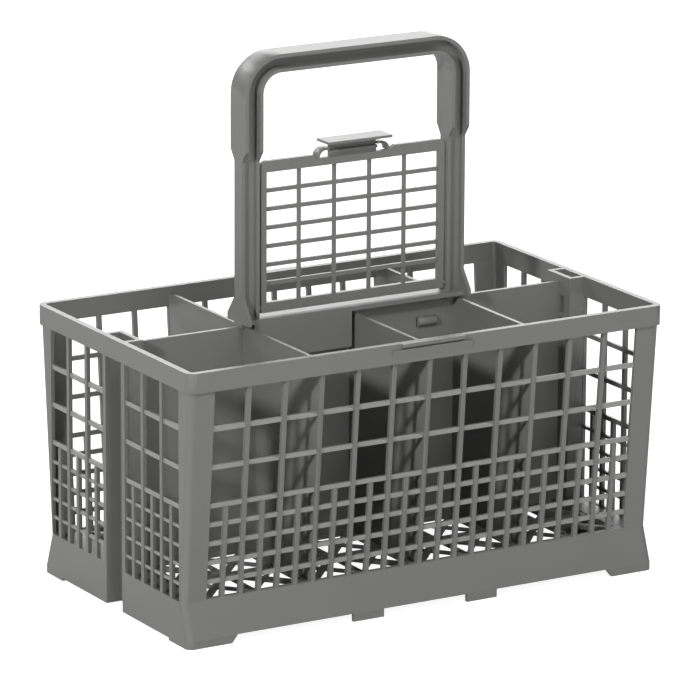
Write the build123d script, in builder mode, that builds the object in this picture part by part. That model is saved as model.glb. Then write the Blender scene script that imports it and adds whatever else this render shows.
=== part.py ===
from build123d import *
from math import atan2, cos, degrees
import os

# Cutlery basket for a dishwasher, in millimetres. The basket is one moulding with two rows of compartments,
# the carrying handle clips onto its middle wall, and a grid flap hinges in the handle and folds down over
# the front row. Origin at the middle of the footprint, on the surface that the basket stands on:
# +X along the long side, +Y to the back, +Z up.

# Basket, outside
basket_length = 242.4
basket_depth = 140.8
rim_top = 124.3
rim_height = 9.0
rim_proud = 1.2
wall = 1.8
corner_radius = 3.2
waist_height = 19.5
waist_inset = 9.2
foot_height = 3.6
foot_inset = 3.4

# Notches under the skirt: along each long side a middle one and two outer ones, and a low one under each end
notch_height = 3.7
notch_slope = 2.9
middle_notch = 43.0
middle_foot = 15.5
corner_foot = 23.0
end_notch_height = 1.2
end_notch_width = 99.0

# Grid of the walls
bar = 2.2
rail_recess = 0.6
corner_post = 13.4
long_columns = 12
end_columns = 3
end_strip = 0.3
end_margin = 2.4
end_rail = 1.5
grid_bottom = 19.9
grid_change = 62.5
top_rail = 97.45
coarse_rows = 2
fine_rows = 5
rim_land = 0.3

# Inner walls and floor
inner_top = 121.3
middle_wall = 2.0
cross_wall = 1.8
columns_per_cell = 3
cells_per_row = 4
floor_thickness = 2.0
floor_bar = 2.6
floor_edge = 1.6

# Channel at the middle of each end, open to the end and the bottom, with its post inside the basket
channel_gap = 14.7
channel_depth = 7.3
post_wall = 2.3
post_window_width = 4.2
post_window_height = 8.0
post_window_rows = 2

# Catch for the flap on the front rim
catch_length = 32.0
catch_reach = 1.6
catch_height = 1.4
catch_slope = 1.2
pad_length = 41.0
pad_reach = 0.8
pad_margin = 2.0

# Handle
handle_width = 115.0
handle_top = 243.4
handle_radius = 18.0
leg_beam = 9.1
grip_beam = 8.2
outer_flange = 1.7
inner_flange = 1.6
web = 3.0
grip_depth = 13.4
leg_depth = 6.6
leg_taper_low = 196.0
leg_taper_high = 200.8
foot_depth = 19.2
foot_taper_low = 126.0
foot_taper_high = 134.4
sill_top = 125.0
sill_thickness = 2.0
apron_drop = 16.3
apron_thickness = 1.6
apron_clearance = 0.7
apron_end_gap = 2.1
lug_length = 9.4
lug_height = 4.3
lug_from_middle = 39.2
lug_drop = 11.3
lug_clearance = 0.6
lug_fit = 0.15

# Flap
flap_height = 68.7
flap_gap = 1.2
flap_lift = 1.5
flap_thickness = 2.4
flap_front = 2.4
flap_corner = 3.0
flap_side = 2.9
flap_top_frame = 5.2
flap_bottom_frame = 4.5
flap_upright = 1.6
flap_rail = 1.9
flap_rail_depth = 1.3
flap_columns = 5
flap_rows = 7
flap_end_row = 1.0
pin_radius = 1.2
pin_lift = 2.1
pin_length = 1.0
pin_clearance = 0.05
pin_end_gap = 0.2

# Latch on the flap
latch_notch_top = 42.4
latch_notch_bottom = 37.2
latch_notch_depth = 1.7
latch_web_length = 24.2
latch_web_thickness = 1.0
latch_step = 2.9
latch_lip = 1.2
latch_lip_reach = 0.3
latch_undercut = 0.8
latch_arm_radius = 4.4
latch_arm = 1.2
thumb_length = 32.8
thumb_front = 6.0
thumb_back = 2.2
thumb_thickness = 1.2
thumb_lift = 6.9

# Worked out from the sizes above
rim_bottom = rim_top - rim_height
wall_length = basket_length - 2 * rim_proud
wall_depth = basket_depth - 2 * rim_proud
waist_depth = basket_depth - 2 * waist_inset
foot_width = basket_depth - 2 * foot_inset
lean = atan2((wall_depth - waist_depth) / 2, rim_bottom - waist_height)
shell_levels = (
    (0, foot_width),
    (foot_height, foot_width),
    (waist_height, waist_depth),
    (rim_bottom, wall_depth),
)
long_half = basket_length / 2 - corner_post
long_pitch = (2 * long_half + bar) / long_columns
fine_top = grid_change - bar / 2
coarse_bottom = grid_change + bar / 2
coarse_top = top_rail - bar / 2
top_row_bottom = top_rail + bar / 2
grid_top = rim_bottom - rim_land
post_half = channel_gap / 2 + post_wall
post_face = wall_length / 2 - channel_depth - post_wall
end_start = post_half + end_strip
end_limit = waist_depth / 2 - end_margin
cell_length = columns_per_cell * long_pitch
floor_top = waist_height
floor_half_depth = (waist_depth - wall) / 2
leg_outside = handle_width / 2
leg_inside = leg_outside - leg_beam
sill_bottom = sill_top - sill_thickness
apron_outside = cell_length - cross_wall / 2 - apron_clearance
apron_inside = cross_wall / 2 + apron_end_gap
apron_back = grip_depth / 2 - apron_thickness
lug_height_at = sill_bottom - lug_drop
flap_bottom = sill_top + flap_lift
flap_top = flap_bottom + flap_height
flap_half = leg_inside - flap_gap
flap_back = flap_thickness - flap_front
flap_middle = (flap_back - flap_front) / 2
pin_height = flap_bottom + pin_lift


def openings(left, right, low, high, columns, rows, upright=bar, rail=bar):
    """Rectangles in rows and columns, with uprights and rails between them, in the sketch that is open."""
    pitch_x = (right - left + upright) / columns
    pitch_y = (high - low + rail) / rows
    with Locations(((left + right) / 2, (low + high) / 2)):
        with GridLocations(pitch_x, pitch_y, columns, rows):
            Rectangle(pitch_x - upright, pitch_y - rail)


# Hollow of the basket: the outside's section smaller by the wall, and straight up through the rim
with BuildPart() as hollow:
    with BuildSketch(Plane.YZ):
        with BuildLine():
            hollow_levels = shell_levels + ((rim_top, wall_depth),)
            right_side = [(depth / 2 - wall, height) for height, depth in hollow_levels]
            left_side = [(wall - depth / 2, height) for height, depth in hollow_levels]
            Polyline(*right_side, *reversed(left_side), close=True)
        make_face()
    extrude(amount=wall_length / 2 - wall, both=True)
    ends = hollow.faces().group_by(Axis.X)
    fillet((ends[0] + ends[-1]).edges().filter_by(Axis.Y, reverse=True), corner_radius - wall)

# Basket: shell, floor and inner walls
with BuildPart() as basket:
    with BuildSketch(Plane.YZ):
        with BuildLine():
            right_side = [(depth / 2, height) for height, depth in shell_levels]
            left_side = [(-depth / 2, height) for height, depth in shell_levels]
            Polyline(*right_side, *reversed(left_side), close=True)
        make_face()
    extrude(amount=wall_length / 2, both=True)
    ends = basket.faces().group_by(Axis.X)
    fillet((ends[0] + ends[-1]).edges().filter_by(Axis.Y, reverse=True), corner_radius)
    with BuildSketch(Plane.XY.offset(rim_bottom)):
        RectangleRounded(basket_length, basket_depth, corner_radius + rim_proud)
    extrude(amount=rim_height)
    add(hollow.part, mode=Mode.SUBTRACT)

    # Floor, open but for two diagonal bars that cross in each compartment
    floor_start = middle_wall / 2 + floor_edge
    floor_end = waist_depth / 2 - wall - floor_edge
    floor_cell_length = cell_length - cross_wall - 2 * floor_edge
    floor_cell_depth = floor_end - floor_start
    diagonal = atan2(floor_cell_depth, floor_cell_length)
    with BuildSketch(Plane.XY.offset(floor_top)):
        Rectangle(wall_length - wall, 2 * floor_half_depth)
        with GridLocations(cell_length, floor_start + floor_end, cells_per_row, 2):
            Rectangle(floor_cell_length, floor_cell_depth, mode=Mode.SUBTRACT)
            for turn in (-diagonal, diagonal):
                Rectangle(floor_cell_length / cos(diagonal), floor_bar, rotation=degrees(turn))
    extrude(amount=-floor_thickness)

    # Middle wall from post to post, and cross walls on to it, of which the rear row lacks the middle one
    rim_half = (wall_depth - wall) / 2
    for number in range(1, cells_per_row):
        place = (number - cells_per_row / 2) * cell_length
        behind = 1 if place else 0
        with BuildSketch(Plane.YZ.offset(place)):
            with BuildLine():
                Polyline(
                    (-floor_half_depth, floor_top),
                    (behind * floor_half_depth, floor_top),
                    (behind * rim_half, rim_bottom),
                    (behind * rim_half, inner_top),
                    (-rim_half, inner_top),
                    (-rim_half, rim_bottom),
                    close=True,
                )
            make_face()
        extrude(amount=cross_wall / 2, both=True)
    with BuildSketch(Plane.XY.offset(floor_top)):
        Rectangle(2 * post_face + post_wall, middle_wall)
    extrude(amount=inner_top - floor_top)
    with BuildSketch(Plane.XZ):
        with Locations((-lug_from_middle, lug_height_at), (lug_from_middle, lug_height_at)):
            Rectangle(lug_length + 2 * lug_clearance, lug_height + 2 * lug_fit)
    extrude(amount=middle_wall / 2, both=True, mode=Mode.SUBTRACT)

    # Posts behind the end channels, then the channels themselves
    for side in (-1, 1):
        with BuildSketch(Plane.XY.offset(end_notch_height)):
            with Locations((side * (post_face + wall_length / 2 - wall / 2) / 2, 0)):
                Rectangle(wall_length / 2 - wall / 2 - post_face, 2 * post_half)
        extrude(amount=rim_top - end_notch_height)
        with BuildSketch(Plane.XY):
            with Locations((side * (post_face + post_wall + basket_length / 2) / 2, 0)):
                Rectangle(basket_length / 2 - post_face - post_wall, channel_gap)
        extrude(amount=rim_bottom, mode=Mode.SUBTRACT)
        channel_mouth = wall_length / 2 - wall - post_face - post_wall
        with BuildSketch(Plane.XY.offset(rim_bottom)):
            with Locations((side * (post_face + post_wall + channel_mouth / 2), 0)):
                Rectangle(channel_mouth, channel_gap)
        extrude(amount=rim_height, mode=Mode.SUBTRACT)
        window_top = rim_bottom - rim_land
        window_low = window_top - post_window_rows * (post_window_height + bar) + bar
        window_start = middle_wall / 2
        with BuildSketch(Plane.YZ.offset(side * post_face)):
            for half in (-1, 1):
                edges = sorted((half * window_start, half * (window_start + post_window_width)))
                openings(*edges, window_low, window_top, 1, post_window_rows)
        extrude(amount=side * post_wall, mode=Mode.SUBTRACT)

    # Notches under the skirt that leave the feet standing
    outer_notch_start = middle_notch / 2 + middle_foot
    outer_notch_end = basket_length / 2 - corner_foot
    with BuildSketch(Plane.XZ):
        Rectangle(middle_notch, notch_height, align=(Align.CENTER, Align.MIN))
        for side in (-1, 1):
            with BuildLine():
                Polyline(
                    (side * outer_notch_start, 0),
                    (side * outer_notch_end, 0),
                    (side * (outer_notch_end - notch_slope), notch_height),
                    (side * outer_notch_start, notch_height),
                    close=True,
                )
            make_face()
    extrude(amount=basket_depth, both=True, mode=Mode.SUBTRACT)
    with BuildSketch(Plane.YZ):
        Rectangle(end_notch_width, end_notch_height, align=(Align.CENTER, Align.MIN))
    extrude(amount=basket_length, both=True, mode=Mode.SUBTRACT)

    # Catch in the middle of each long rim, a ledge over a tapered pad, so the handle fits either way round
    pad_top = rim_top - catch_height - catch_slope
    pad_bottom = rim_bottom + pad_margin
    for side in (-1, 1):
        rim_face = side * basket_depth / 2
        with BuildSketch(Plane.YZ):
            with BuildLine():
                Polyline(
                    (rim_face, rim_top),
                    (rim_face + side * catch_reach, rim_top),
                    (rim_face + side * catch_reach, rim_top - catch_height),
                    (rim_face, pad_top),
                    close=True,
                )
            make_face()
        extrude(amount=catch_length / 2, both=True)
        with BuildSketch(Plane.YZ):
            with BuildLine():
                Polyline(
                    (rim_face, pad_bottom),
                    (rim_face, pad_top),
                    (rim_face + side * pad_reach, pad_top),
                    close=True,
                )
            make_face()
        extrude(amount=pad_length / 2, both=True)

    # Openings of the two long walls, cut square to the leaning faces, with the rails set back
    for side in (-1, 1):
        face = Plane(
            origin=(0, side * wall_depth / 2, rim_bottom),
            x_dir=(-side, 0, 0),
            z_dir=Vector(0, side, 0).rotate(Axis.X, -side * degrees(lean)),
        )
        heights = (grid_bottom, fine_top, coarse_bottom, coarse_top, top_row_bottom, grid_top)
        levels = [(height - rim_bottom) / cos(lean) for height in heights]
        with BuildSketch(face):
            openings(-long_half, long_half, levels[0], levels[1], 2 * long_columns, 1)
            openings(-long_half, long_half, levels[1], levels[5], long_columns, 1)
        extrude(amount=-rail_recess, mode=Mode.SUBTRACT, clean=False)
        with BuildSketch(face):
            openings(-long_half, long_half, levels[0], levels[1], 2 * long_columns, fine_rows)
            openings(-long_half, long_half, levels[2], levels[3], long_columns, coarse_rows)
            openings(-long_half, long_half, levels[4], levels[5], long_columns, 1)
        extrude(amount=-2 * wall, mode=Mode.SUBTRACT, clean=False)

    # Openings of the two end walls, one field each side of the channel
    for side in (-1, 1):
        face = Plane(origin=(side * wall_length / 2, 0, 0), x_dir=(0, side, 0), z_dir=(side, 0, 0))
        with BuildSketch(face):
            for left, right in ((-end_limit, -end_start), (end_start, end_limit)):
                openings(left, right, grid_bottom, fine_top, 2 * end_columns, 1)
                openings(left, right, fine_top, grid_top, end_columns, 1)
        extrude(amount=-rail_recess, mode=Mode.SUBTRACT, clean=False)
        with BuildSketch(face):
            for left, right in ((-end_limit, -end_start), (end_start, end_limit)):
                openings(left, right, grid_bottom, fine_top, 2 * end_columns, fine_rows, rail=end_rail)
                openings(left, right, coarse_bottom, coarse_top, end_columns, coarse_rows)
                openings(left, right, top_row_bottom, grid_top, end_columns, 1)
        extrude(amount=-2 * wall, mode=Mode.SUBTRACT, clean=False)

basket.part.label = "basket"

# Handle: an arch of I section, slimmer in the legs, on a sill with two aprons that straddle the middle wall
with BuildPart() as handle:
    with BuildSketch(Plane.XZ):
        for inset_leg, inset_grip, radius, mode in (
            (0, 0, handle_radius, Mode.ADD),
            (leg_beam, grip_beam, handle_radius - leg_beam, Mode.SUBTRACT),
        ):
            side = leg_outside - inset_leg
            top = handle_top - inset_grip
            with BuildLine():
                corners = ((-side, sill_bottom), (-side, top), (side, top), (side, sill_bottom))
                arch = FilletPolyline(*corners, radius=radius)
                Line(arch @ 0, arch @ 1)
            make_face(mode=mode)
    extrude(amount=grip_depth / 2, both=True)

    # Legs cut back to their slimmer depth below the grip
    with BuildSketch(Plane.YZ):
        for side in (-1, 1):
            with BuildLine():
                Polyline(
                    (side * leg_depth / 2, sill_bottom),
                    (side * grip_depth / 2, sill_bottom),
                    (side * grip_depth / 2, leg_taper_high),
                    (side * leg_depth / 2, leg_taper_low),
                    close=True,
                )
            make_face()
    extrude(amount=leg_outside, both=True, mode=Mode.SUBTRACT)

    # Recess between the flanges, front and back
    recess_radius = handle_radius - outer_flange
    core_radius = handle_radius - leg_beam + inner_flange
    for side in (-1, 1):
        with BuildSketch(Plane.XZ.offset(side * web / 2)):
            for inset_leg, inset_grip, radius, mode in (
                (outer_flange, outer_flange, recess_radius, Mode.ADD),
                (leg_beam - inner_flange, grip_beam - inner_flange, core_radius, Mode.SUBTRACT),
            ):
                reach = leg_outside - inset_leg
                top = handle_top - inset_grip
                with BuildLine():
                    corners = ((-reach, sill_top), (-reach, top), (reach, top), (reach, sill_top))
                    arch = FilletPolyline(*corners, radius=radius)
                    Line(arch @ 0, arch @ 1)
                make_face(mode=mode)
        extrude(amount=side * (grip_depth - web) / 2, mode=Mode.SUBTRACT)

    # Sill, the flared feet of the outer flanges, and the pads that stand on the basket's inner walls
    with BuildSketch(Plane.XY.offset(sill_bottom)):
        Rectangle(handle_width, grip_depth)
    extrude(amount=sill_thickness)
    for side in (-1, 1):
        with BuildSketch(Plane.YZ.offset(side * leg_outside)):
            with BuildLine():
                Polyline(
                    (-foot_depth / 2, sill_bottom),
                    (foot_depth / 2, sill_bottom),
                    (foot_depth / 2, foot_taper_low),
                    (leg_depth / 2, foot_taper_high),
                    (-leg_depth / 2, foot_taper_high),
                    (-foot_depth / 2, foot_taper_low),
                    close=True,
                )
            make_face()
        extrude(amount=-side * outer_flange)
        with BuildSketch(Plane.XY.offset(inner_top)):
            with Locations((side * (leg_inside + leg_outside) / 2, 0)):
                Rectangle(leg_beam, leg_depth)
        extrude(amount=sill_bottom - inner_top)

    # Aprons, each with a round-nosed lug that snaps through a window of the middle wall
    for side in (-1, 1):
        with BuildSketch(Plane.XY.offset(sill_bottom)):
            apron_middle = (apron_outside + apron_inside) / 2
            with Locations((side * apron_middle, side * (apron_back + apron_thickness / 2))):
                Rectangle(apron_outside - apron_inside, apron_thickness)
        extrude(amount=-apron_drop)
        with BuildSketch(Plane.YZ.offset(side * lug_from_middle)):
            with Locations((side * (apron_back - middle_wall / 2) / 2, lug_height_at)):
                Rectangle(apron_back + middle_wall / 2, lug_height)
            with Locations((-side * middle_wall / 2, lug_height_at)):
                Circle(lug_height / 2)
        extrude(amount=lug_length / 2, both=True)

    # Blind holes for the flap's pins
    pin_hole_end = leg_inside + pin_length + pin_end_gap
    with BuildSketch(Plane.YZ):
        with Locations((flap_middle, pin_height)):
            Circle(pin_radius + pin_clearance)
    extrude(amount=pin_hole_end, both=True, mode=Mode.SUBTRACT)

handle.part.label = "handle"

# Flap: a framed grid with a sprung latch in the middle of its top edge and a pin at each lower corner
with BuildPart() as flap:
    grid_left = flap_half - flap_side
    notch_floor = flap_top - latch_notch_depth
    with BuildSketch(Plane.XZ.offset(flap_front)) as panel:
        with Locations((0, flap_bottom)):
            Rectangle(2 * flap_half, flap_height, align=(Align.CENTER, Align.MIN))
        fillet(panel.vertices().group_by(Axis.Y)[-1], flap_corner)
        with BuildLine():
            Polyline(
                (-latch_notch_top / 2, flap_top),
                (latch_notch_top / 2, flap_top),
                (latch_notch_bottom / 2, notch_floor),
                (-latch_notch_bottom / 2, notch_floor),
                close=True,
            )
        make_face(mode=Mode.SUBTRACT)
    extrude(amount=-flap_thickness)
    with BuildSketch(Plane.XZ.offset(flap_front)):
        grid_low = flap_bottom + flap_bottom_frame
        grid_high = flap_top - flap_top_frame
        openings(-grid_left, grid_left, grid_low, grid_high, flap_columns, 1, flap_upright)
        rail_pitch = (grid_high - grid_low + flap_rail - 2 * flap_end_row) / flap_rows
        with Locations((0, (grid_low + grid_high) / 2)):
            with GridLocations(2 * grid_left, rail_pitch, 1, flap_rows - 1):
                Rectangle(2 * grid_left, flap_rail, mode=Mode.SUBTRACT)
    extrude(amount=-flap_thickness, mode=Mode.SUBTRACT)
    with BuildSketch(Plane.XZ.offset(flap_front)):
        openings(-grid_left, grid_left, grid_low, grid_high, 1, 1)
    extrude(amount=flap_rail_depth - flap_thickness, mode=Mode.SUBTRACT)

    # Latch: two broad sprung arms, a web with a lip between them, and the thumb plate over the web
    arm_outside = latch_notch_bottom / 2
    arm_centre = arm_outside - latch_arm_radius
    web_half = latch_web_length / 2
    thumb_low = notch_floor + thumb_lift
    with BuildSketch(Plane.XZ.offset(flap_front)):
        for side in (-1, 1):
            centre = (side * arm_centre, notch_floor)
            with BuildLine():
                outer = CenterArc(centre, latch_arm_radius, 90, -side * 90)
                inner = CenterArc(centre, latch_arm_radius - latch_arm, 90, -side * 90)
                outer_end = (side * web_half, notch_floor + latch_arm_radius)
                inner_end = (side * web_half, notch_floor + latch_arm_radius - latch_arm)
                Polyline(outer @ 0, outer_end, inner_end, inner @ 0)
                Line(outer @ 1, inner @ 1)
            make_face()
    extrude(amount=-flap_thickness - thumb_back)
    with BuildSketch(Plane.YZ):
        with BuildLine():
            Polyline(
                (flap_back, notch_floor),
                (flap_back, thumb_low),
                (flap_back - latch_web_thickness, thumb_low),
                (flap_back - latch_web_thickness, notch_floor + latch_step),
                (-flap_front - latch_lip_reach, notch_floor + latch_step),
                (-flap_front - latch_lip_reach, notch_floor + latch_step - latch_lip),
                (latch_undercut - flap_front, notch_floor + latch_step - latch_lip),
                (latch_undercut - flap_front, notch_floor),
                close=True,
            )
        make_face()
    extrude(amount=web_half, both=True)
    with BuildSketch(Plane.XY.offset(thumb_low)):
        with Locations((0, flap_middle + (thumb_back - thumb_front) / 2)):
            Rectangle(thumb_length, thumb_front + flap_thickness + thumb_back)
    extrude(amount=thumb_thickness)

    # Hinge pins at the lower corners
    for side in (-1, 1):
        with BuildSketch(Plane.YZ.offset(side * flap_half)):
            with Locations((flap_middle, pin_height)):
                Circle(pin_radius)
        extrude(amount=side * (flap_gap + pin_length))

flap.part.label = "flap"

os.makedirs("parts", exist_ok=True)
export_step(basket.part, "parts/basket.step")
export_step(handle.part, "parts/handle.step")
export_step(flap.part, "parts/flap.step")
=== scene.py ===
"""Cutlery basket for a dishwasher: the finish of its mouldings, the fine bars of its floor and the studio."""
import math

import bmesh
import bpy
from bpy.props import FloatProperty, FloatVectorProperty, IntProperty, PointerProperty
from mathutils import Matrix, Vector


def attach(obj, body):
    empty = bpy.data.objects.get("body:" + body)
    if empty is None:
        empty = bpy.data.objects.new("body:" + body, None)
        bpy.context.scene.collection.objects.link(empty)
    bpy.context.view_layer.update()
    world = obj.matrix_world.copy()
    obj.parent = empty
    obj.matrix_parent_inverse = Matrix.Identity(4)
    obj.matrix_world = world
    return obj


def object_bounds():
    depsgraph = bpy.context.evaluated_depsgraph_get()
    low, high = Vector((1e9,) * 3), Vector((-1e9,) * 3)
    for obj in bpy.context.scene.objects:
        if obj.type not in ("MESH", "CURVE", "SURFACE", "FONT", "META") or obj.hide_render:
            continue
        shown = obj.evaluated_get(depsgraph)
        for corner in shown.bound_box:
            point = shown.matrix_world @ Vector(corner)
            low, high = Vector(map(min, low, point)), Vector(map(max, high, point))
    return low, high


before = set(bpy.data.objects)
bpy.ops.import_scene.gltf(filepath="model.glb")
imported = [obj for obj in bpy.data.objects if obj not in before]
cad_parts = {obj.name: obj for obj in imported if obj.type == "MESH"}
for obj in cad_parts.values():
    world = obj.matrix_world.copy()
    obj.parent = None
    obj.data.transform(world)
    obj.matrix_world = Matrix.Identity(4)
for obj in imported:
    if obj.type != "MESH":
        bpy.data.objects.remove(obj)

bl_info = {
    "name": "Cutlery basket",
    "version": (1, 0, 0),
    "blender": (4, 5, 0),
    "location": "3D View > Sidebar > Basket",
    "description": "Finishes the mouldings of a dishwasher cutlery basket and lights them in a studio",
    "category": "Object",
}

CAD_LOW, CAD_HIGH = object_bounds()
MM = 0.001

# Refractive index of the plastic, and how far its roughness follows the clouds and the grain
PLASTIC_IOR = 1.49
CLOUD_SHARE, GRAIN_SHARE = 0.6, 0.4
# Square of the part of a face's normal that points out of the wall, above which the face is a rail's
FACING_OUT = 0.95

# Corners closer than this are joined, faces flatter than this are one, and sharper edges are rounded
JOIN_DISTANCE = 0.001 * MM
FLAT_ANGLE = math.radians(0.5)
SHARP_ANGLE = math.radians(35)

# The two sheets under the basket
SHEET_HALF = 6.0
SHEET_CLOUD_SCALE = 3.0
SHEET_MOTTLE = 0.005
SHEET_ROUGHNESS = 0.9
FLOOR_SHADE = (0.35, 0.35, 0.35)
TABLE_DROP = MM

# Width and place of each light, and how far the camera sees
KEY_SIZE, KEY_PLACE = 0.24, (-2.05, -1.1, 1.2)
FRONT_SIZE, FRONT_PLACE = 1.6, (0.2, -2.5, 0.9)
HIGH_SIZE, HIGH_PLACE = 0.8, (-0.2, -1.5, 2.1)
BACK_SIZE, BACK_PLACE = 2.0, (1.25, 2.1, 0.9)
RIM_SIZE, RIM_PLACE = 0.8, (-0.6, 2.0, 1.3)
CAMERA_REACH = 20


class PlasticSettings(bpy.types.PropertyGroup):
    """Finish of the grey plastic."""

    colour: FloatVectorProperty(
        name="Colour", description="Colour of the plastic", subtype="COLOR", size=3,
        default=(0.140, 0.140, 0.137), min=0, max=1,
    )
    mottle: FloatProperty(
        name="Mottle", description="How much the grey varies in soft clouds", default=0.05, min=0, max=1,
    )
    cloud_size: FloatProperty(
        name="Cloud size", description="Width of one cloud", default=0.045, min=0.001, unit="LENGTH",
    )
    roughness: FloatProperty(
        name="Roughness", description="Mean roughness of the satin skin", default=0.46, min=0, max=1,
    )
    roughness_spread: FloatProperty(
        name="Roughness spread", description="How much the roughness varies", default=0.10, min=0, max=1,
    )
    grain_size: FloatProperty(
        name="Grain size", description="Width of one grain of the mould's texture",
        default=0.0006, min=0.0001, unit="LENGTH",
    )
    grain_depth: FloatProperty(
        name="Grain depth", description="Depth of the mould's texture",
        default=0.00002, min=0, unit="LENGTH", precision=6,
    )
    edge_radius: FloatProperty(
        name="Edge radius", description="Rounding of the moulded edges",
        default=0.0003, min=0, unit="LENGTH", precision=5,
    )
    edge_segments: IntProperty(
        name="Edge segments", description="Facets across each rounded edge", default=2, min=1, max=6,
    )


class RailSettings(bpy.types.PropertyGroup):
    """Where the rails of the grid walls lie, and how much paler their faces are painted: a painted highlight
    for the light that falls on them.
    """

    # Painted highlight: how much paler the rails' faces are painted, standing in for the light they catch
    pale: FloatProperty(
        name="Pale", description="How much paler the faces of the rails are than the rest",
        default=1.6, min=1,
    )
    recess: FloatProperty(
        name="Recess", description="From the outside of a wall in to the face of its rails",
        default=0.0006, min=0, unit="LENGTH", precision=5,
    )
    end: FloatProperty(
        name="End wall", description="From the middle to the outside of an end wall",
        default=0.12, min=0, unit="LENGTH",
    )
    waist: FloatProperty(
        name="Waist", description="From the middle to the outside of a long wall, at the waist",
        default=0.0612, min=0, unit="LENGTH",
    )
    waist_height: FloatProperty(
        name="Waist height", description="Height of the waist", default=0.0195, min=0, unit="LENGTH",
    )
    flare: FloatProperty(
        name="Flare", description="How far a long wall moves out for each length up", default=0.0835, min=0,
    )


class LatticeSettings(bpy.types.PropertyGroup):
    """Places and sizes of the fine bars in the floor."""

    bar: FloatProperty(
        name="Bar width", description="Width of a fine bar", default=0.0018, min=0.0005, unit="LENGTH",
    )
    depth: FloatProperty(
        name="Bar depth", description="Height of a fine bar", default=0.0016, min=0.0005, unit="LENGTH",
    )
    level: FloatProperty(
        name="Level", description="Height of the bars' top faces", default=0.0194, min=0, unit="LENGTH",
    )
    compartments: IntProperty(
        name="Compartments", description="Compartments along one row", default=4, min=1, max=12,
    )
    pitch: FloatProperty(
        name="Pitch", description="From one compartment to the next",
        default=0.05445, min=0.01, unit="LENGTH",
    )
    length: FloatProperty(
        name="Length", description="Open length of one compartment's floor",
        default=0.04945, min=0.01, unit="LENGTH",
    )
    inner_edge: FloatProperty(
        name="Inner edge", description="Where the open floor begins beside the middle wall",
        default=0.0026, min=0, unit="LENGTH",
    )
    outer_edge: FloatProperty(
        name="Outer edge", description="Where the open floor ends beside the long wall",
        default=0.0578, min=0.01, unit="LENGTH",
    )


class StageSettings(bpy.types.PropertyGroup):
    """Camera, lights and floor."""

    azimuth: FloatProperty(
        name="Azimuth", description="Turn of the camera about the basket",
        default=math.radians(-30.676), subtype="ANGLE",
    )
    elevation: FloatProperty(
        name="Elevation", description="Height of the camera over the horizon",
        default=math.radians(14.963), subtype="ANGLE",
    )
    roll: FloatProperty(
        name="Roll", description="Tilt of the picture", default=math.radians(0.312), subtype="ANGLE",
    )
    distance: FloatProperty(
        name="Distance", description="From the camera to the point it looks at",
        default=2.49498, min=0.1, unit="LENGTH",
    )
    aim_right: FloatProperty(
        name="Aim right", description="The point it looks at, to the right of the origin",
        default=0.00057, unit="LENGTH",
    )
    aim_up: FloatProperty(
        name="Aim up", description="The point it looks at, above the origin",
        default=0.09955, unit="LENGTH",
    )
    lens: FloatProperty(name="Lens", description="Focal length in millimetres", default=283.82, min=1)
    sensor: FloatProperty(name="Sensor", description="Sensor width in millimetres", default=36.0, min=1)
    floor_colour: FloatVectorProperty(
        name="Table", description="Colour of the table that throws light back", subtype="COLOR", size=3,
        default=(0.85, 0.85, 0.85), min=0, max=1,
    )
    floor_glow: FloatProperty(
        name="Floor glow", description="How far the floor is lit from below", default=0.92, min=0, max=1,
    )
    backdrop: FloatProperty(name="Backdrop", description="Brightness behind the basket", default=1.0, min=0)
    key: FloatProperty(name="Key", description="Watts of the small left light", default=47.0, min=0)
    front: FloatProperty(name="Front", description="Watts of the wide front light", default=21.0, min=0)
    high: FloatProperty(name="High", description="Watts of the high front light", default=20.0, min=0)
    back: FloatProperty(name="Back", description="Watts of the right back light", default=60.0, min=0)
    rim: FloatProperty(name="Rim", description="Watts of the left back light", default=28.0, min=0)


class Value:
    """A value in a material. Arithmetic on it adds a Math node to the material."""

    def __init__(self, paint, socket):
        self.paint = paint
        self.socket = socket

    def math(self, operation, first, second):
        """One Math node on two terms, each a value or a number."""
        return self.paint.node("ShaderNodeMath", {"operation": operation}, {0: first, 1: second})

    def __add__(self, other):
        return self.math("ADD", self, other)

    def __radd__(self, other):
        return self.math("ADD", other, self)

    def __sub__(self, other):
        return self.math("SUBTRACT", self, other)

    def __rsub__(self, other):
        return self.math("SUBTRACT", other, self)

    def __mul__(self, other):
        return self.math("MULTIPLY", self, other)

    def __rmul__(self, other):
        return self.math("MULTIPLY", other, self)

    def absolute(self):
        """The value without its sign."""
        return self.paint.node("ShaderNodeMath", {"operation": "ABSOLUTE"}, {0: self})


class Paint:
    """A new material with one surface shader, and the nodes that feed it."""

    def __init__(self, name):
        self.material = bpy.data.materials.new(name)
        self.material.use_nodes = True
        self.tree = self.material.node_tree
        self.surface = self.tree.nodes["Principled BSDF"]

    def connect(self, target, source):
        """Sets a socket to a number or colour, or links a value to it."""
        if isinstance(source, Value):
            self.tree.links.new(source.socket, target)
        else:
            target.default_value = source

    def node(self, kind, settings, sockets, output=0):
        """Any node: its settings first, then its sockets; gives back one of its outputs."""
        made = self.tree.nodes.new(kind)
        for name, setting in settings.items():
            setattr(made, name, setting)
        for name, source in sockets.items():
            self.connect(made.inputs[name], source)
        return Value(self, made.outputs[output])

    def mix(self, factor, first, second):
        """A colour between two others."""
        return self.node("ShaderNodeMix", {"data_type": "RGBA"}, {"Factor": factor, 6: first, 7: second}, 2)

    def finish(self, **sockets):
        """Feeds the surface shader, with its socket names written with underscores."""
        for name, source in sockets.items():
            self.connect(self.surface.inputs[name.replace("_", " ")], source)
        return self.material


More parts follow.
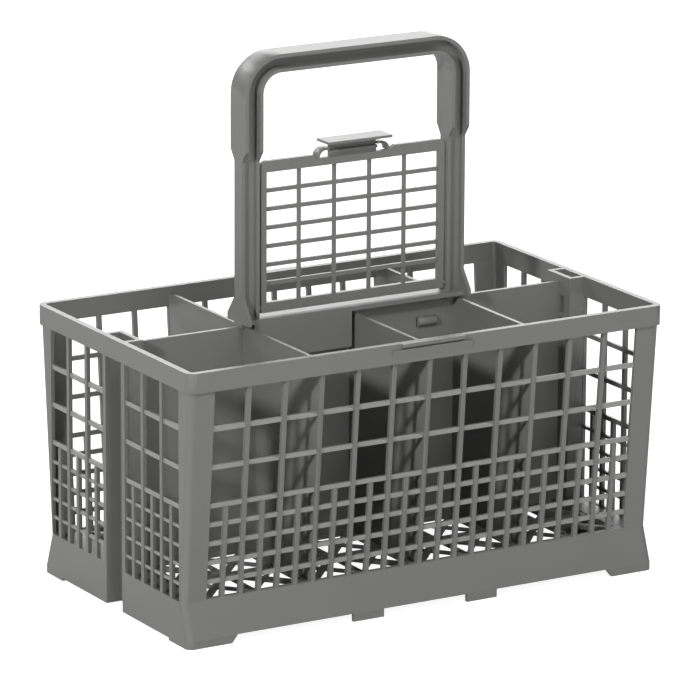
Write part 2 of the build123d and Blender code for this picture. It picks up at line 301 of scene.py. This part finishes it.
def painted_highlight_faces(paint, place):
    """One on the outer faces of the basket's rails, where the painted highlight goes, and nothing elsewhere.
    """
    rails = bpy.context.scene.basket_rails
    normal = paint.node("ShaderNodeNewGeometry", {}, {}, "Normal")
    x, y, z = (paint.node("ShaderNodeSeparateXYZ", {}, {0: place}, axis) for axis in "XYZ")
    along, across = (paint.node("ShaderNodeSeparateXYZ", {}, {0: normal}, axis) for axis in "XY")
    long_wall = rails.waist + rails.flare * (z - rails.waist_height)
    on_rail = 0.0
    for wall, out, facing in ((rails.end, x, along), (long_wall, y, across)):
        depth = wall - out.absolute()
        band = {0: depth, 1: rails.recess, 2: rails.recess / 2}
        level = paint.node("ShaderNodeMath", {"operation": "COMPARE"}, band)
        flat = facing.math("GREATER_THAN", facing * facing, FACING_OUT)
        on_rail = on_rail + level * flat
    return on_rail


def mottled(paint, clouds, colour, spread):
    """A colour that varies a little in soft clouds."""
    dark = [part * (1 - spread) for part in colour] + [1.0]
    light = [part * (1 + spread) for part in colour] + [1.0]
    return paint.mix(clouds, dark, light)


def moulded_plastic(name, painted_rail_highlight=False):
    """Satin polypropylene: soft clouds in the grey, an uneven gloss and the fine grain of the mould."""
    look = bpy.context.scene.basket_plastic
    paint = Paint(name)
    place = paint.node("ShaderNodeTexCoord", {}, {}, "Object")
    clouds = paint.node(
        "ShaderNodeTexNoise", {}, {"Vector": place, "Scale": 1 / look.cloud_size, "Detail": 3.0}, "Fac",
    )
    grain = paint.node(
        "ShaderNodeTexNoise", {}, {"Vector": place, "Scale": 1 / look.grain_size, "Detail": 2.0}, "Fac",
    )
    colour = mottled(paint, clouds, look.colour, look.mottle)
    # Painted highlight: the rails' faces get a paler copy of the grey, standing in for the light that falls
    # on them
    if painted_rail_highlight:
        paler = [part * bpy.context.scene.basket_rails.pale for part in look.colour]
        colour = paint.mix(painted_highlight_faces(paint, place), colour, mottled(paint, clouds, paler, look.mottle))
    roughness = look.roughness + look.roughness_spread * (CLOUD_SHARE * clouds + GRAIN_SHARE * grain - 0.5)
    normal = paint.node(
        "ShaderNodeBump", {}, {"Height": grain, "Distance": look.grain_depth, "Strength": 1.0}, "Normal",
    )
    return paint.finish(Base_Color=colour, Roughness=roughness, Normal=normal, IOR=PLASTIC_IOR)


def soften(piece):
    """Rounds the sharp edges of a moulding."""
    look = bpy.context.scene.basket_plastic
    weld = piece.modifiers.new("join", "WELD")
    weld.merge_threshold = JOIN_DISTANCE
    flat = piece.modifiers.new("flat faces", "DECIMATE")
    flat.decimate_type = "DISSOLVE"
    flat.angle_limit = FLAT_ANGLE
    edge = piece.modifiers.new("edges", "BEVEL")
    edge.width = look.edge_radius
    edge.segments = look.edge_segments
    edge.limit_method = "ANGLE"
    edge.angle_limit = SHARP_ANGLE
    edge.harden_normals = True


def dress(node, material):
    """Gives a moulding its finish and its rounded edges."""
    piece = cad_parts[node]
    piece.data.materials.clear()
    piece.data.materials.append(material)
    soften(piece)
    return piece


class BASKET_OT_basket(bpy.types.Operator):
    """Finish the basket"""

    bl_idname = "basket.basket"
    bl_label = "Basket"

    def execute(self, context):
        dress("basket", moulded_plastic("basket plastic", painted_rail_highlight=True))
        return {"FINISHED"}


class BASKET_OT_handle(bpy.types.Operator):
    """Finish the handle"""

    bl_idname = "basket.handle"
    bl_label = "Handle"

    def execute(self, context):
        dress("handle", moulded_plastic("handle plastic"))
        return {"FINISHED"}


class BASKET_OT_flap(bpy.types.Operator):
    """Finish the flap"""

    bl_idname = "basket.flap"
    bl_label = "Flap"

    def execute(self, context):
        dress("flap", moulded_plastic("flap plastic"))
        return {"FINISHED"}


def lay_bar(mesh, start, end, look):
    """One fine bar between two points of the floor."""
    run = end - start
    middle = (start + end) / 2
    middle.z = look.level - look.depth / 2
    turn = Matrix.Rotation(math.atan2(run.y, run.x), 4, "Z")
    size = Matrix.Diagonal((run.length + look.bar, look.bar, look.depth, 1))
    bmesh.ops.create_cube(mesh, size=1, matrix=Matrix.Translation(middle) @ turn @ size)


class BASKET_OT_lattice(bpy.types.Operator):
    """Lay the fine bars of the floor between its main diagonals"""

    bl_idname = "basket.lattice"
    bl_label = "Floor lattice"

    def execute(self, context):
        look = context.scene.basket_lattice
        half = Vector((look.length / 2, (look.outer_edge - look.inner_edge) / 2, 0))
        sides = [Vector(side) * half for side in ((1, 0, 0), (0, 1, 0), (-1, 0, 0), (0, -1, 0))]
        mesh = bmesh.new()
        for number in range(look.compartments):
            for row in (-1, 1):
                centre = Vector((
                    (number - (look.compartments - 1) / 2) * look.pitch,
                    row * (look.inner_edge + look.outer_edge) / 2,
                    0,
                ))
                for side, following in zip(sides, sides[1:] + sides[:1]):
                    lay_bar(mesh, centre + side, centre + following, look)
                for side in sides[:2]:
                    lay_bar(mesh, centre - side, centre + side, look)
        data = bpy.data.meshes.new("floor_lattice")
        mesh.to_mesh(data)
        mesh.free()
        piece = bpy.data.objects.new("floor_lattice", data)
        context.scene.collection.objects.link(piece)
        data.materials.append(bpy.data.materials["basket plastic"])
        soften(piece)
        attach(piece, "basket")
        return {"FINISHED"}


class BASKET_OT_stage(bpy.types.Operator):
    """Set up the floor, the lights and the camera"""

    bl_idname = "basket.stage"
    bl_label = "Studio"

    def execute(self, context):
        stage = context.scene.basket_stage
        add_floor(stage)
        add_table(stage)
        add_backdrop(context.scene, stage)
        add_softbox("key", stage.key, KEY_SIZE, KEY_PLACE)
        add_softbox("front", stage.front, FRONT_SIZE, FRONT_PLACE)
        add_softbox("high", stage.high, HIGH_SIZE, HIGH_PLACE)
        add_softbox("back", stage.back, BACK_SIZE, BACK_PLACE)
        add_softbox("rim", stage.rim, RIM_SIZE, RIM_PLACE)
        context.scene.camera = add_camera(stage)
        return {"FINISHED"}


def add_sheet(name, level, paint):
    """A wide flat sheet under the basket."""
    corners = [(x * SHEET_HALF, y * SHEET_HALF) for x, y in ((-1, -1), (1, -1), (1, 1), (-1, 1))]
    mesh = bpy.data.meshes.new(name)
    mesh.from_pydata([(x, y, level) for x, y in corners], [], [range(4)])
    sheet = bpy.data.objects.new(name, mesh)
    bpy.context.scene.collection.objects.link(sheet)
    mesh.materials.append(paint)
    return sheet


def clouded(paint, colour):
    """The colour of a sheet, uneven by a little."""
    place = paint.node("ShaderNodeTexCoord", {}, {}, "Object")
    clouds = paint.node("ShaderNodeTexNoise", {}, {"Vector": place, "Scale": SHEET_CLOUD_SCALE}, "Fac")
    return mottled(paint, clouds, colour, SHEET_MOTTLE)


def add_floor(stage):
    """The white floor that the camera sees, lit from below so that only a faint shadow stays on it."""
    paint = Paint("floor")
    paint.finish(
        Base_Color=clouded(paint, FLOOR_SHADE), Roughness=SHEET_ROUGHNESS,
        Emission_Color=(1, 1, 1, 1), Emission_Strength=stage.floor_glow,
    )
    floor = add_sheet("floor", CAD_LOW[2], paint.material)
    floor.visible_diffuse = False
    floor.visible_glossy = False
    floor.visible_transmission = False
    floor.visible_shadow = False


def add_table(stage):
    """The pale table just under the floor, which throws light back up at the basket."""
    paint = Paint("table")
    paint.finish(Base_Color=clouded(paint, stage.floor_colour), Roughness=SHEET_ROUGHNESS)
    table = add_sheet("table", CAD_LOW[2] - TABLE_DROP, paint.material)
    table.visible_camera = False


def add_backdrop(scene, stage):
    """White all round, seen by the camera alone, so that the softboxes shape the basket."""
    scene.world = bpy.data.worlds.new("backdrop")
    scene.world.use_nodes = True
    background = scene.world.node_tree.nodes["Background"]
    background.inputs["Color"].default_value = (1, 1, 1, 1)
    background.inputs["Strength"].default_value = stage.backdrop
    scene.world.cycles_visibility.diffuse = False
    scene.world.cycles_visibility.glossy = False
    scene.view_settings.view_transform = "Standard"


def add_softbox(name, power, size, place):
    """A square area light that looks at the middle of the basket."""
    data = bpy.data.lights.new(name, "AREA")
    data.energy = power
    data.size = size
    lamp = bpy.data.objects.new(name, data)
    middle = (Vector(CAD_LOW) + Vector(CAD_HIGH)) / 2
    lamp.location = place
    lamp.rotation_euler = (middle - lamp.location).to_track_quat("-Z", "Y").to_euler()
    lamp.visible_camera = False
    bpy.context.scene.collection.objects.link(lamp)


def add_camera(stage):
    """The camera at the angle of the picture."""
    level = math.cos(stage.elevation)
    back = Vector((
        math.sin(stage.azimuth) * level,
        -math.cos(stage.azimuth) * level,
        math.sin(stage.elevation),
    ))
    right = Vector((math.cos(stage.azimuth), math.sin(stage.azimuth), 0))
    turned = Matrix.Rotation(stage.roll, 3, back)
    right = turned @ right
    up = back.cross(right)
    data = bpy.data.cameras.new("camera")
    data.lens = stage.lens
    data.sensor_width = stage.sensor
    data.clip_end = CAMERA_REACH
    camera = bpy.data.objects.new("camera", data)
    camera.matrix_world = Matrix((right, up, back)).transposed().to_4x4()
    camera.location = stage.aim_right * right + stage.aim_up * up + stage.distance * back
    bpy.context.scene.collection.objects.link(camera)
    return camera


class BASKET_PT_panel(bpy.types.Panel):
    """Settings and steps of the cutlery basket"""

    bl_label = "Cutlery basket"
    bl_idname = "BASKET_PT_panel"
    bl_space_type = "VIEW_3D"
    bl_region_type = "UI"
    bl_category = "Basket"

    def draw(self, context):
        for settings in SETTINGS:
            group = getattr(context.scene, settings)
            box = self.layout.box()
            for name in group.bl_rna.properties.keys():
                if name not in ("rna_type", "name"):
                    box.prop(group, name)
        for operator in STEPS:
            self.layout.operator(operator.bl_idname)


SETTINGS = {
    "basket_plastic": PlasticSettings,
    "basket_rails": RailSettings,
    "basket_lattice": LatticeSettings,
    "basket_stage": StageSettings,
}
STEPS = (BASKET_OT_basket, BASKET_OT_handle, BASKET_OT_flap, BASKET_OT_lattice, BASKET_OT_stage)


def register():
    """Registers the settings, the steps and the panel."""
    for name, group in SETTINGS.items():
        bpy.utils.register_class(group)
        setattr(bpy.types.Scene, name, PointerProperty(type=group))
    for step in STEPS + (BASKET_PT_panel,):
        bpy.utils.register_class(step)


def unregister():
    """Takes everything out again."""
    for step in (BASKET_PT_panel,) + STEPS:
        bpy.utils.unregister_class(step)
    for name, group in SETTINGS.items():
        delattr(bpy.types.Scene, name)
        bpy.utils.unregister_class(group)


def main():
    """Makes the basket."""
    register()
    bpy.ops.basket.basket()
    bpy.ops.basket.handle()
    bpy.ops.basket.flap()
    bpy.ops.basket.lattice()
    bpy.ops.basket.stage()


if __name__ == "__main__":
    main()
